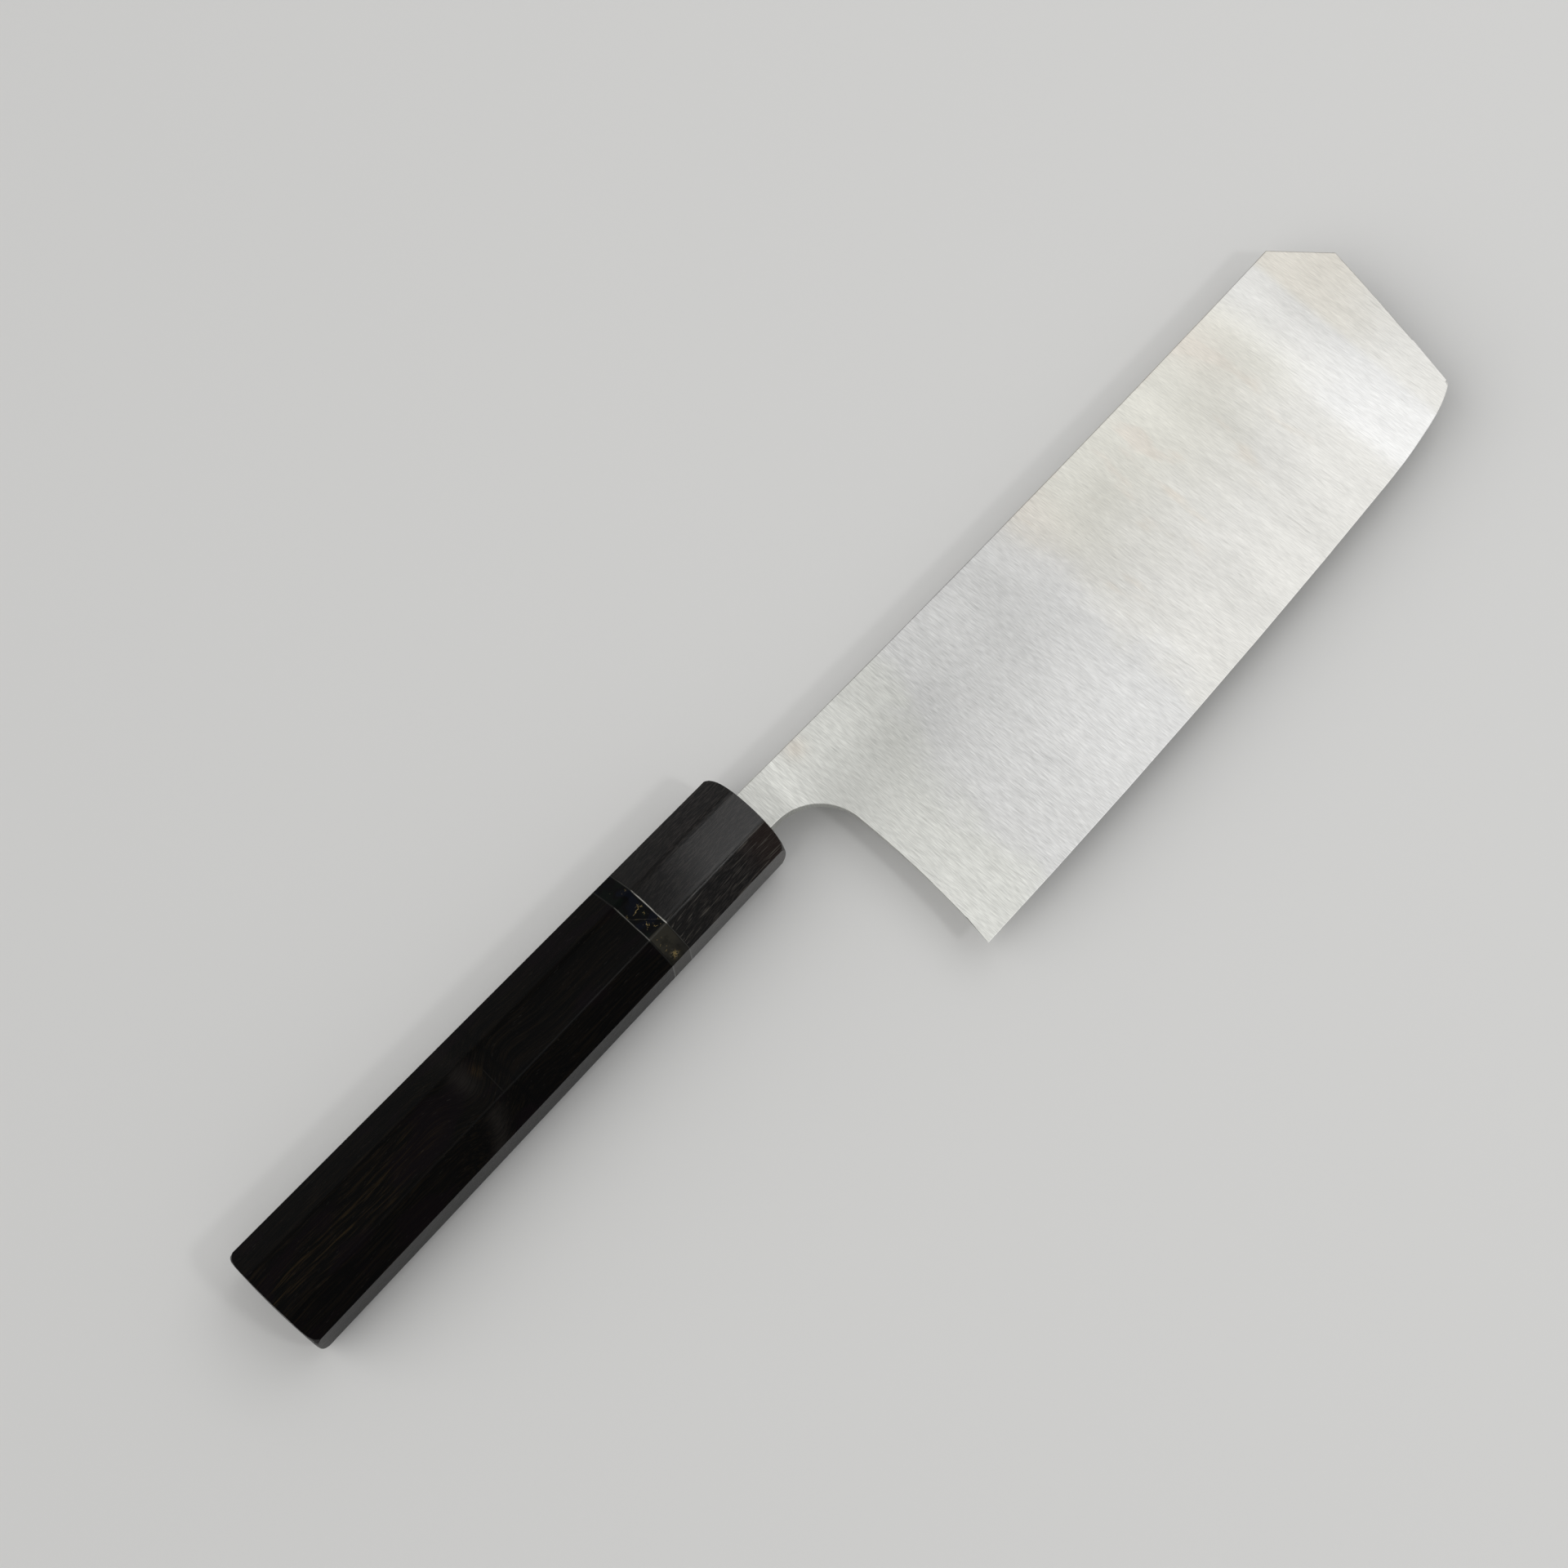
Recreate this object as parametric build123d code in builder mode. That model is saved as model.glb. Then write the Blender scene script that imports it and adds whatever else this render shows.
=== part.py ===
from build123d import *
import math
import os

os.makedirs("parts", exist_ok=True)

# Nakiri knife with an eight-sided wooden handle. It lies on its side:
# +X runs from the butt to the end of the blade, +Y from the edge to the spine, +Z up through the blade.
# The origin is under the middle of the knife, on the surface that the handle lies on.

# Blade, seen from the side. Heights and depths are measured from the handle's axis.
blade_length = 165.2         # heel to the end
neck_length = 13.0           # nose of the ferrule to the heel
spine_height = 4.9
spine_dip = 0.75             # the spine sinks this far below a straight line at its middle
neck_depth = 5.3             # underside of the neck
heel_depth = 54.5
heel_set = 1.4               # top of the heel line stands this far ahead of the heel
heel_bow = 0.85              # and the line bulges forward by this much
choil_radius = 12.4
clip_length = 9.9            # corner cut off between spine and end, along the knife
clip_drop = 11.3             # and across it
end_rake = 6.6               # the end leans back by this much down to the tip
end_bulge = 0.3
tip_rise = 10.5              # tip above the heel
tip_radius = 1.5
edge_bow = 1.0               # belly of the long stretch of the edge below its chord
sweep_start_share = 0.803    # of the blade's length: where the edge begins to sweep up to the tip
sweep_start_rise_share = 0.49
sweep_middle_share = 0.893
sweep_middle_rise_share = 0.66
sweep_end_slope = 0.6

# Blade, through its thickness
neck_thickness = 3.2         # also the tang's
blade_thickness = 3.0        # spine above the heel
end_thickness = 1.9          # spine at the end
edge_thickness = 0.2         # above the heel, behind the edge's own bevel
tip_edge_thickness = 0.3
grind_start = 6.0            # nose of the ferrule to where the flat grind begins
grind_ramp = 4.5             # length over which it sinks into the neck
bevel_angle = 15.0           # each side of the edge
edge_land = 0.04             # what is left of the thickness at the very edge
edge_easing = 0.25           # broken corners of spine, clip and end
tang_length = 95.0
tang_setback = 2.0           # nose to the step where the tang leaves the neck
tang_step = 0.5              # height of the step, above and below
tang_end_height = 5.0
tang_end_radius = 1.5

# Handle. Heights are along Y and thicknesses along Z.
handle_length = 139.5
ferrule_length = 30.0
liner_thickness = 0.4
spacer_length = 4.6
nose_height = 21.9
nose_thickness = 18.4
butt_height = 25.2
butt_thickness = 21.1
nose_facet_cut = 6.3         # corner taken off by a slanted facet, along Y
butt_facet_cut = 7.1
facet_slope_share = 0.7      # the same cut along Z, as a share of the one along Y
facet_easing = 0.3           # rounding of the long corners between facets
nose_dome_radius = 58.0
nose_shoulder_radius = 3.0
butt_dome_radius = 150.0
butt_shoulder_radius = 2.2

# Joint between blade and handle
dowel_diameter = 13.0
dowel_setback = 8.0          # nose to the dowel's front end
dowel_tail = 12.0            # whole wood behind the slot
dowel_chamfer = 0.6
slot_clearance = 0.15        # round the neck, filled with adhesive
slot_tail = 1.0              # slot behind the tang's end
glue_line = 0.05             # round the dowel
bore_tail = 1.0              # grip's bore behind the dowel
bedding_setback = 0.6        # adhesive lies this far inside the slot's mouth

overrun = 5.0                # how far cutting shapes run past what they cut

# Places that follow from the sizes
overall_length = handle_length + neck_length + blade_length
nose_x = handle_length - overall_length / 2
axis_y = (heel_depth - butt_height / 2) / 2
axis_z = butt_thickness / 2
end_x = neck_length + blade_length
spine_end_x = end_x - clip_length
tip_depth = heel_depth - tip_rise
front_liner_place = ferrule_length
spacer_place = front_liner_place + liner_thickness
rear_liner_place = spacer_place + spacer_length
grip_place = rear_liner_place + liner_thickness
slot_length = tang_length + slot_tail
dowel_end_place = slot_length + dowel_tail
bore_radius = dowel_diameter / 2 + glue_line
neck_middle = (spine_height - neck_depth) / 2
slot_height = spine_height + neck_depth + 2 * slot_clearance
slot_thickness = neck_thickness + 2 * slot_clearance

bevel_slope = math.tan(math.radians(bevel_angle))
bevel_reach = max(edge_thickness, tip_edge_thickness) / 2 / bevel_slope + edge_easing

# The blade's own plane: X ahead of the ferrule's nose, Y from the handle's axis towards the spine
side_plane = Plane(origin=(nose_x, axis_y, axis_z))
handle_axis = Axis((nose_x, axis_y, axis_z), (1, 0, 0))


# Plane across the knife, so far ahead of the nose: X towards the spine, Y up
def across(ahead):
    return Plane(origin=(nose_x + ahead, axis_y, axis_z), x_dir=(0, 1, 0), z_dir=(1, 0, 0))


# Value between its size at the first place and at the last, by a share of the way
def between(first, last, share):
    return first + (last - first) * share


# Corners of the handle's eight-sided section, so far behind the nose
def handle_corners(behind):
    share = behind / handle_length
    half_height = between(nose_height, butt_height, share) / 2
    half_thickness = between(nose_thickness, butt_thickness, share) / 2
    cut = between(nose_facet_cut, butt_facet_cut, share)
    flat_y = half_height - cut
    flat_z = half_thickness - cut * facet_slope_share
    quarter = [(half_height, flat_z), (flat_y, half_thickness)]
    upper = quarter + [(-y, z) for y, z in reversed(quarter)]
    return upper + [(-y, -z) for y, z in upper]


# Half of the blade's thickness on the grind, so far ahead of the nose and above the handle's axis
def grind_half(ahead, height):
    share = (ahead - neck_length) / blade_length
    spine_half = between(blade_thickness, end_thickness, share) / 2
    heel_slope = (blade_thickness - edge_thickness) / (spine_height + heel_depth) / 2
    end_slope = (end_thickness - tip_edge_thickness) / (spine_height + tip_depth) / 2
    return spine_half - between(heel_slope, end_slope, share) * (spine_height - height)


# Half outline of a body with one domed end, to be turned about the handle's axis. The dome's apex faces
# forward or back, its rounded shoulder ends at the reach from the axis, and behind it the body widens.
def domed_outline(apex, facing, dome_radius, shoulder_radius, reach):
    lean = math.asin((reach - shoulder_radius) / (dome_radius - shoulder_radius))
    dome_end = (apex - facing * dome_radius * (1 - math.cos(lean)), dome_radius * math.sin(lean))
    shoulder_setback = dome_radius - (dome_radius - shoulder_radius) * math.cos(lean)
    shoulder_end = (apex - facing * shoulder_setback, reach)
    far_end = apex - facing * (handle_length + overrun)
    with BuildSketch(side_plane) as outline:
        with BuildLine():
            dome = RadiusArc((apex, 0), dome_end, -facing * dome_radius)
            TangentArc(dome_end, shoulder_end, tangent=dome % 1)
            Polyline(shoulder_end, (far_end, butt_reach + overrun), (far_end, 0), (apex, 0))
        make_face()
    return outline.sketch


# Blade with neck and tang: a plate of the outline, ground on both sides, then bevelled along its edge
heel = (neck_length, -heel_depth)
tip = (end_x - end_rake, -tip_depth)
clip_end = (end_x, spine_height - clip_drop)
sweep_start_x = neck_length + blade_length * sweep_start_share
sweep_start = (sweep_start_x, tip_rise * sweep_start_rise_share - heel_depth)
sweep_middle_x = neck_length + blade_length * sweep_middle_share
sweep_middle = (sweep_middle_x, tip_rise * sweep_middle_rise_share - heel_depth)
choil_end = (neck_length + heel_set, -neck_depth - choil_radius)
choil_start = (neck_length + heel_set - choil_radius, -neck_depth)
tang_shoulder = (-tang_setback, spine_height - tang_step)
tang_heel = (-tang_setback, tang_step - neck_depth)
tang_top = (-tang_length, neck_middle + tang_end_height / 2)
tang_bottom = (-tang_length, neck_middle - tang_end_height / 2)

with BuildPart() as blade:
    with BuildSketch(side_plane.offset(-neck_thickness / 2)) as outline:
        with BuildLine():
            belly = SagittaArc(heel, sweep_start, -edge_bow)
            Spline(sweep_start, sweep_middle, tip, tangents=(belly % 1, (1, sweep_end_slope)))
            SagittaArc(tip, clip_end, -end_bulge)
            Line(clip_end, (spine_end_x, spine_height))
            SagittaArc((spine_end_x, spine_height), (0, spine_height), spine_dip)
            Polyline((0, spine_height), (-tang_setback, spine_height), tang_shoulder, tang_top)
            Polyline(tang_top, tang_bottom, tang_heel, (-tang_setback, -neck_depth), choil_start)
            RadiusArc(choil_start, choil_end, choil_radius)
            SagittaArc(choil_end, heel, heel_bow)
        make_face()
        fillet(outline.vertices().group_by(Axis.X)[0], tang_end_radius)
        fillet(outline.vertices().sort_by_distance(tip)[0], tip_radius)
    extrude(amount=neck_thickness)
    for side in (1, -1):
        for ahead in (grind_start, grind_start + grind_ramp, end_x + overrun):
            far = side * neck_thickness
            with BuildSketch(across(ahead)):
                with BuildLine():
                    high = spine_height + overrun
                    low = -heel_depth - overrun
                    begins = ahead == grind_start
                    high_half = neck_thickness / 2 if begins else grind_half(ahead, high)
                    low_half = neck_thickness / 2 if begins else grind_half(ahead, low)
                    Polyline((high, far), (high, side * high_half), (low, side * low_half))
                    Polyline((low, side * low_half), (low, far), (high, far))
                make_face()
        loft(ruled=True, mode=Mode.SUBTRACT)

    # The edge's own bevel follows the edge from the heel round the tip
    lowest = outline.sketch.edges().filter_by(lambda e: e.center().Y < axis_y - tip_depth + tip_radius)
    edge_path = Wire(lowest).moved(Location((0, 0, neck_thickness / 2)))
    for side in (1, -1):
        with BuildSketch(Plane(origin=edge_path @ 0, x_dir=(0, 1, 0), z_dir=edge_path % 0)):
            with BuildLine():
                land = side * edge_land / 2
                inner = side * (edge_land / 2 + bevel_reach * bevel_slope)
                far = side * neck_thickness
                Polyline((-bevel_reach, land), (0, land), (bevel_reach, inner))
                Polyline((bevel_reach, inner), (bevel_reach, far), (-bevel_reach, far), (-bevel_reach, land))
            make_face()
        sweep(path=edge_path, mode=Mode.SUBTRACT)

    # The corners of the spine, as far as the tang's step, and of the clipped corner are eased
    eased = ShapeList()
    for place in ((end_x / 2, spine_height), ((spine_end_x + end_x) / 2, spine_height - clip_drop / 2)):
        eased += blade.edges().sort_by_distance(side_plane.from_local_coords(place))[:2]
    fillet(eased, edge_easing)

blade.part.label = "blade"
export_step(blade.part, "parts/blade.step")

# The handle in one length: a block planed to eight tapering sides, its long corners eased, its ends domed
nose_corners = handle_corners(0)
butt_corners = handle_corners(handle_length)
nose_reach = math.hypot(*handle_corners(ferrule_length)[0])
butt_reach = math.hypot(*butt_corners[0])

with BuildPart() as blank:
    with BuildSketch(across(-handle_length)):
        Rectangle(butt_height + overrun, butt_thickness + overrun)
    extrude(amount=handle_length)
    for i in range(len(nose_corners)):
        first = across(0).from_local_coords(nose_corners[i - 1])
        second = across(0).from_local_coords(nose_corners[i])
        third = across(-handle_length).from_local_coords(butt_corners[i])
        facet = Plane(origin=second, x_dir=second - first, z_dir=(third - second).cross(second - first))
        split(bisect_by=facet, keep=Keep.BOTTOM)
    fillet(blank.edges().sort_by(SortBy.LENGTH)[-len(nose_corners):], facet_easing)
    nose_outline = domed_outline(0, 1, nose_dome_radius, nose_shoulder_radius, nose_reach)
    revolve(nose_outline, axis=handle_axis, mode=Mode.INTERSECT)
    butt_outline = domed_outline(-handle_length, -1, butt_dome_radius, butt_shoulder_radius, butt_reach)
    revolve(butt_outline, axis=handle_axis, mode=Mode.INTERSECT)

# Ferrule: the blank's front end, with a slot for the neck and a bore for the dowel
with BuildPart() as ferrule:
    add(blank.part)
    split(bisect_by=across(-front_liner_place), keep=Keep.TOP)
    with BuildSketch(across(-dowel_setback)):
        with Locations((neck_middle, 0)):
            Rectangle(slot_height, slot_thickness)
    extrude(amount=dowel_setback + overrun, mode=Mode.SUBTRACT)
    with BuildSketch(across(-dowel_setback)):
        Circle(bore_radius)
    extrude(amount=dowel_setback - ferrule_length - overrun, mode=Mode.SUBTRACT)

ferrule.part.label = "ferrule"
export_step(ferrule.part, "parts/ferrule.step")

# Two metal liners and the spacer between them
bands = (
    ("front_liner", front_liner_place, liner_thickness),
    ("spacer", spacer_place, spacer_length),
    ("rear_liner", rear_liner_place, liner_thickness),
)
for name, place, length in bands:
    with BuildPart() as band:
        add(blank.part)
        split(bisect_by=across(-place), keep=Keep.BOTTOM)
        split(bisect_by=across(-place - length), keep=Keep.TOP)
        with BuildSketch(across(overrun - place)):
            Circle(bore_radius)
        extrude(amount=-length - 2 * overrun, mode=Mode.SUBTRACT)
    band.part.label = name
    export_step(band.part, f"parts/{name}.step")

# Grip: the rest of the blank, with a blind bore
with BuildPart() as grip:
    add(blank.part)
    split(bisect_by=across(-grip_place), keep=Keep.BOTTOM)
    with BuildSketch(across(overrun - grip_place)):
        Circle(bore_radius)
    extrude(amount=grip_place - dowel_end_place - bore_tail - overrun, mode=Mode.SUBTRACT)

grip.part.label = "grip"
export_step(grip.part, "parts/grip.step")

# Dowel: joins ferrule, bands and grip, and is slotted for the tang
with BuildPart() as dowel:
    with BuildSketch(across(-dowel_end_place)):
        Circle(dowel_diameter / 2)
    extrude(amount=dowel_end_place - dowel_setback)
    chamfer(dowel.edges().filter_by(GeomType.CIRCLE), dowel_chamfer)
    with BuildSketch(across(-slot_length)):
        with Locations((neck_middle, 0)):
            Rectangle(slot_height, slot_thickness)
    extrude(amount=slot_length, mode=Mode.SUBTRACT)

dowel.part.label = "dowel"
export_step(dowel.part, "parts/dowel.step")

# Set adhesive between the tang and the slot's walls
with BuildPart() as tang_bedding:
    with BuildSketch(across(-slot_length)):
        with Locations((neck_middle, 0)):
            Rectangle(slot_height, slot_thickness)
    extrude(amount=slot_length - bedding_setback)
    add(blade.part, mode=Mode.SUBTRACT)

tang_bedding.part.label = "tang_bedding"
export_step(tang_bedding.part, "parts/tang_bedding.step")
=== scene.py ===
import math

import bmesh
import bpy
from mathutils import Matrix, Vector


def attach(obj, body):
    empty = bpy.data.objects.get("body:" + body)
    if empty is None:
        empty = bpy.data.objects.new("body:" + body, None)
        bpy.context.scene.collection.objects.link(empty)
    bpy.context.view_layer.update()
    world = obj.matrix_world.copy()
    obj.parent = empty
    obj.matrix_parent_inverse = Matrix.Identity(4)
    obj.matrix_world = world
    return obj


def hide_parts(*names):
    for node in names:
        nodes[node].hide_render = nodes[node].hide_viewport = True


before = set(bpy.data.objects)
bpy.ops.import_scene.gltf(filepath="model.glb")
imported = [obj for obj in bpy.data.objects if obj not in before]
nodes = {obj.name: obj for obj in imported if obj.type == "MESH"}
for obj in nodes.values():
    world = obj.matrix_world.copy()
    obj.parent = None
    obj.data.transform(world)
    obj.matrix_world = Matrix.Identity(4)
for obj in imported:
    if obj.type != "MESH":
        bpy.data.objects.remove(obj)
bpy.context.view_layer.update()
mm = 0.001
nose = (-19.35, 20.95, 10.55)    # apex of the handle's domed nose, mm

# The view: the knife lies on its side, seen from nearly above, handle at the lower left
view = {
    "aim": (-10.04, 20.45, 10.55),
    "eye": (-143.5, -125.45, 684.45),
    "roll": 45.9,            # degrees that the knife is turned in the picture
    "lens": 77.44,
    "sensor": 36,            # mm wide
    "nearest": 0.01,         # metres in front of the eye
}


def setCamera():
    aim = Vector(view["aim"]) * mm
    eye = Vector(view["eye"]) * mm
    back = (eye - aim).normalized()
    along = Vector((1, 0, 0))
    along = (along - back * along.dot(back)).normalized()
    across = back.cross(along)
    turn = math.radians(view["roll"])
    right = along * math.cos(turn) - across * math.sin(turn)
    up = along * math.sin(turn) + across * math.cos(turn)
    data = bpy.data.cameras.new("camera")
    data.lens = view["lens"]
    data.sensor_width = view["sensor"]
    data.clip_start = view["nearest"]
    camera = bpy.data.objects.new("camera", data)
    camera.matrix_world = Matrix.Translation(eye) @ Matrix((right, up, back)).transposed().to_4x4()
    bpy.context.scene.collection.objects.link(camera)
    bpy.context.scene.camera = camera


setCamera()
print("camera placed")


# One output of a shader node. Arithmetic on it adds Math nodes.
class Wire:
    def __init__(self, shader, socket):
        self.shader = shader
        self.socket = socket

    def math(self, operation, *values):
        return self.shader.add("Math", {"operation": operation}, dict(enumerate(values)))

    def __add__(self, other):
        return self.math("ADD", self, other)

    def __radd__(self, other):
        return self.math("ADD", other, self)

    def __sub__(self, other):
        return self.math("SUBTRACT", self, other)

    def __rsub__(self, other):
        return self.math("SUBTRACT", other, self)

    def __mul__(self, other):
        return self.math("MULTIPLY", self, other)

    def __rmul__(self, other):
        return self.math("MULTIPLY", other, self)

    def __truediv__(self, other):
        return self.math("DIVIDE", self, other)

    def size(self):
        return self.math("ABSOLUTE", self)

    def lesser(self, other):
        return self.math("MINIMUM", self, other)

    def greater(self, other):
        return self.math("MAXIMUM", self, other)

    # 0 below the first value, 1 above the last, smooth between them
    def rise(self, first, last):
        return self.shader.add(
            "MapRange",
            {"interpolation_type": "SMOOTHSTEP"},
            {"Value": self, "From Min": first, "From Max": last},
        )

    # 1 at that value, falling to nearly nothing at twice the width from it
    def near(self, value, width):
        away = (self - value) / width
        return self.math("EXPONENT", away * away * -1)


# A material, its nodes and its Principled shader
class Shader:
    def __init__(self, name):
        self.material = bpy.data.materials.new(name)
        self.material.use_nodes = True
        self.tree = self.material.node_tree
        self.surface = self.tree.nodes["Principled BSDF"]
        self.place = self.add("TexCoord", {}, {}, "Object")

    # A node of that kind, its settings set first, then the values or wires of its sockets
    def add(self, kind, settings, inputs, output=0):
        node = self.tree.nodes.new("ShaderNode" + kind)
        for key, value in settings.items():
            setattr(node, key, value)
        for key, value in inputs.items():
            self.feed(node.inputs[key], value)
        return Wire(self, node.outputs[output])

    def feed(self, socket, value):
        if isinstance(value, Wire):
            self.tree.links.new(value.socket, socket)
        elif socket.type == "RGBA":
            socket.default_value = (*value, 1)
        else:
            socket.default_value = value

    # Millimetres from the handle's nose, stretched
    def millimetres(self, stretch=(1, 1, 1)):
        start = [-value * mm for value in nose]
        moved = self.add("Mapping", {}, {"Vector": self.place, "Location": start})
        scale = [value / mm for value in stretch]
        return self.add("Mapping", {}, {"Vector": moved, "Scale": scale})

    def axes(self, vector):
        return [self.add("SeparateXYZ", {}, {"Vector": vector}, name) for name in "XYZ"]

    def point(self, x, y, z):
        return self.add("CombineXYZ", {}, {"X": x, "Y": y, "Z": z})

    def noise(self, vector, detail=2.0, roughness=0.5, distortion=0.0):
        inputs = {
            "Vector": vector,
            "Scale": 1.0,
            "Detail": detail,
            "Roughness": roughness,
            "Distortion": distortion,
        }
        return self.add("TexNoise", {}, inputs)

    # Noise over the knife, with about that many blobs to the millimetre each way
    def cloud(self, stretch, *values):
        return self.noise(self.millimetres(stretch), *values)

    def cells(self, vector, scale=1.0, feature="F1"):
        return self.add("TexVoronoi", {"feature": feature}, {"Vector": vector, "Scale": scale})

    def mix(self, share, first, second, blend="MIX"):
        settings = {"data_type": "RGBA", "blend_type": blend}
        return self.add("Mix", settings, {0: share, 6: first, 7: second}, 2)

    def bump(self, height, distance, strength=1.0):
        inputs = {"Height": height, "Distance": distance * mm, "Strength": strength}
        return self.add("Bump", {}, inputs)

    # Feeds sockets by name: what varies over the surface is a wire, what doesn't is a number
    def finish(self, **values):
        for name, value in values.items():
            words = "".join(" " + letter if letter.isupper() else letter for letter in name)
            socket = words.strip().replace("I O R", "IOR")
            self.feed(self.surface.inputs[socket[0].upper() + socket[1:]], value)
        return self.material


# The nodes of the world that lights the scene
class Sky(Shader):
    def __init__(self, world):
        self.material = None
        world.use_nodes = True
        self.tree = world.node_tree
        self.surface = self.tree.nodes["Background"]


# The pale floor and the studio light
studio = {
    "floorColour": (0.80, 0.80, 0.79),
    "floorRoughness": 0.9,
    "floorShine": 0.1,
    "floorSize": 16.0,               # metres
    "skyColour": (1.0, 1.0, 1.0),
    "skyLight": 0.33,
    "skyShown": 0.45,                # as the camera and the steel see it
    "keyFrom": (-0.95, 0.55, 1.0),
    "keySoftness": 70.0,             # degrees that the key light spans
    "keyStrength": 1.10,
    "keyColour": (1.0, 0.99, 0.975),
}

# Lamps: places, aims and sizes in metres, turn in degrees
lamps = {
    "softboxOverBlade": {
        "shape": "RECTANGLE",
        "place": (0.72, -0.04, 1.2),
        "aim": (0.72, -0.04, 0.0),
        "size": (1.3, 1.1),
        "turn": 28,
        "radiance": 0.845,
    },
    "discBesideEdge": {
        "shape": "ELLIPSE",
        "place": (0.14, -0.62, 0.98),
        "aim": (0.0, 0.02, 0.01),
        "size": (0.14, 0.14),
        "turn": 0,
        "radiance": 22.0,
    },
}


def makeFloor():
    bm = bmesh.new()
    bmesh.ops.create_grid(bm, x_segments=1, y_segments=1, size=studio["floorSize"] / 2)
    mesh = bpy.data.meshes.new("floor")
    bm.to_mesh(mesh)
    bm.free()
    floor = bpy.data.objects.new("floor", mesh)
    bpy.context.scene.collection.objects.link(floor)
    paper = Shader("palePaper").finish(
        baseColor=studio["floorColour"], roughness=studio["floorRoughness"],
        specularIORLevel=studio["floorShine"],
    )
    mesh.materials.append(paper)


def lightWorld():
    world = bpy.data.worlds.new("studio")
    bpy.context.scene.world = world
    sky = Sky(world)
    kinds = ("Camera", "Glossy", "Transmission")
    camera, glossy, transmission = [sky.add("LightPath", {}, {}, "Is %s Ray" % kind) for kind in kinds]
    shown = (camera + glossy + transmission).lesser(1.0)
    extra = studio["skyShown"] - studio["skyLight"]
    sky.finish(color=studio["skyColour"], strength=shown * extra + studio["skyLight"])


def addKey():
    key = bpy.data.lights.new("keyFromButt", "SUN")
    key.angle = math.radians(studio["keySoftness"])
    key.energy = studio["keyStrength"]
    key.color = studio["keyColour"]
    lamp = bpy.data.objects.new("keyFromButt", key)
    lamp.rotation_euler = Vector(studio["keyFrom"]).to_track_quat("Z", "Y").to_euler()
    bpy.context.scene.collection.objects.link(lamp)


def addLamp(name, shape, place, aim, size, turn, radiance):
    data = bpy.data.lights.new(name, "AREA")
    data.shape = shape
    data.size, data.size_y = size
    area = size[0] * size[1] * (math.pi / 4 if shape == "ELLIPSE" else 1)
    data.energy = math.pi * radiance * area
    lamp = bpy.data.objects.new(name, data)
    lamp.location = place
    lamp.rotation_euler = (Vector(aim) - Vector(place)).to_track_quat("-Z", "Y").to_euler()
    lamp.rotation_euler.rotate_axis("Z", math.radians(turn))
    bpy.context.scene.collection.objects.link(lamp)


makeFloor()
lightWorld()
addKey()
for name, values in lamps.items():
    addLamp(name, **values)
bpy.context.scene.view_settings.view_transform = "Standard"
print("floor and light made")


# Every piece: its facets stay flat, and only edges that turn more than this are sharp
smoothing = {"angle": 35.0, "flatness": 90}


# Puts a finished bmesh in the scene as one piece that stands for a CAD node
def addPiece(bm, name, node, material):
    mesh = bpy.data.meshes.new(name)
    bmesh.ops.recalc_face_normals(bm, faces=bm.faces)
    bm.to_mesh(mesh)
    bm.free()
    mesh.shade_smooth()
    mesh.set_sharp_from_angle(angle=math.radians(smoothing["angle"]))
    mesh.materials.append(material)
    piece = bpy.data.objects.new(name, mesh)
    bpy.context.scene.collection.objects.link(piece)
    evened = piece.modifiers.new("facets stay flat", "WEIGHTED_NORMAL")
    evened.keep_sharp = True
    evened.weight = smoothing["flatness"]
    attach(piece, "root")
    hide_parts(node)
    print("piece made:", name, len(mesh.polygons), "faces")


# Satin steel, with hairlines across the blade and soft smears from its hand grinding that carry
# painted reflection, and with painted highlights and shade by place.
# Places are in mm ahead of the handle's nose, and below its axis where the name says so.
# A pair is where a change begins and ends, and in a band or spot the middle and half width.
steel = {
    "tone": 0.605,
    "sway": 14,                  # how far the bands of tone waver
    # Painted highlights and shade: the lighter and darker bands below (edge, middle, heel, rear, end,
    # spine, neck, last part) stand in for reflected light
    "edgeLight": 0.064,          # lighter down to the edge
    "edgeBelow": (12, 44),
    "middleShade": 0.042,        # darker band behind the middle
    "middleBandBelow": (11, 9),
    "middleEnd": (40, 95),
    "heelShade": 0.060,          # darker heel
    "heelEnd": (24, 62),
    "heelBelow": (1, 12),
    "rearShade": 0.056,          # darker from the heel to the middle
    "rearStart": (16, 44),
    "rearEnds": ((72, 92), (98, 114)),
    "endGlow": 0.073,            # lighter band across the end
    "endBand": (152, 9),
    "endBelow": (-8, 22),
    "endLight": 0.030,           # lighter end
    "endStart": (144, 156),
    "lastShade": 0.026,          # darker last few millimetres
    "lastStart": (160, 166),
    "spineGlow": 0.043,          # lighter along the front half of the spine
    "spineStart": (80, 100),
    "spineBelow": (-2, 8),
    "neckGlow": 0.043,           # lighter patch where the neck widens into the blade
    "neckBand": (9.8, 3.4),
    "neckSlant": 0.28,
    "neckLight": 0.017,          # lighter neck
    "neckEnd": (4, 17),
    # Smears and clouds: grinding haze with painted reflection in it
    "smears": 0.22,
    "smearsAndReflectionsPerMm": (0.15, 0.035, 0.1),
    "smearsAndReflectionsStart": (50, 100),
    "clouds": 0.077,
    "cloudsPerMm": (0.06, 0.05, 0.05),
    "hairlines": 0.36,
    "hairsPerMm": (5.6, 0.42),   # along the blade and across it
    "hairFade": (30, 130),       # finer hairlines towards the end
    "scratches": 0.10,
    "scratchesPerMm": (2.2, 0.13),
    "lean": (0.03, 0.045),       # of the lines: at the heel, and how much more at the end
    "leanGrows": (20, 110),
    "roughness": 0.33,
    "relief": 0.004,             # mm
}

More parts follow.
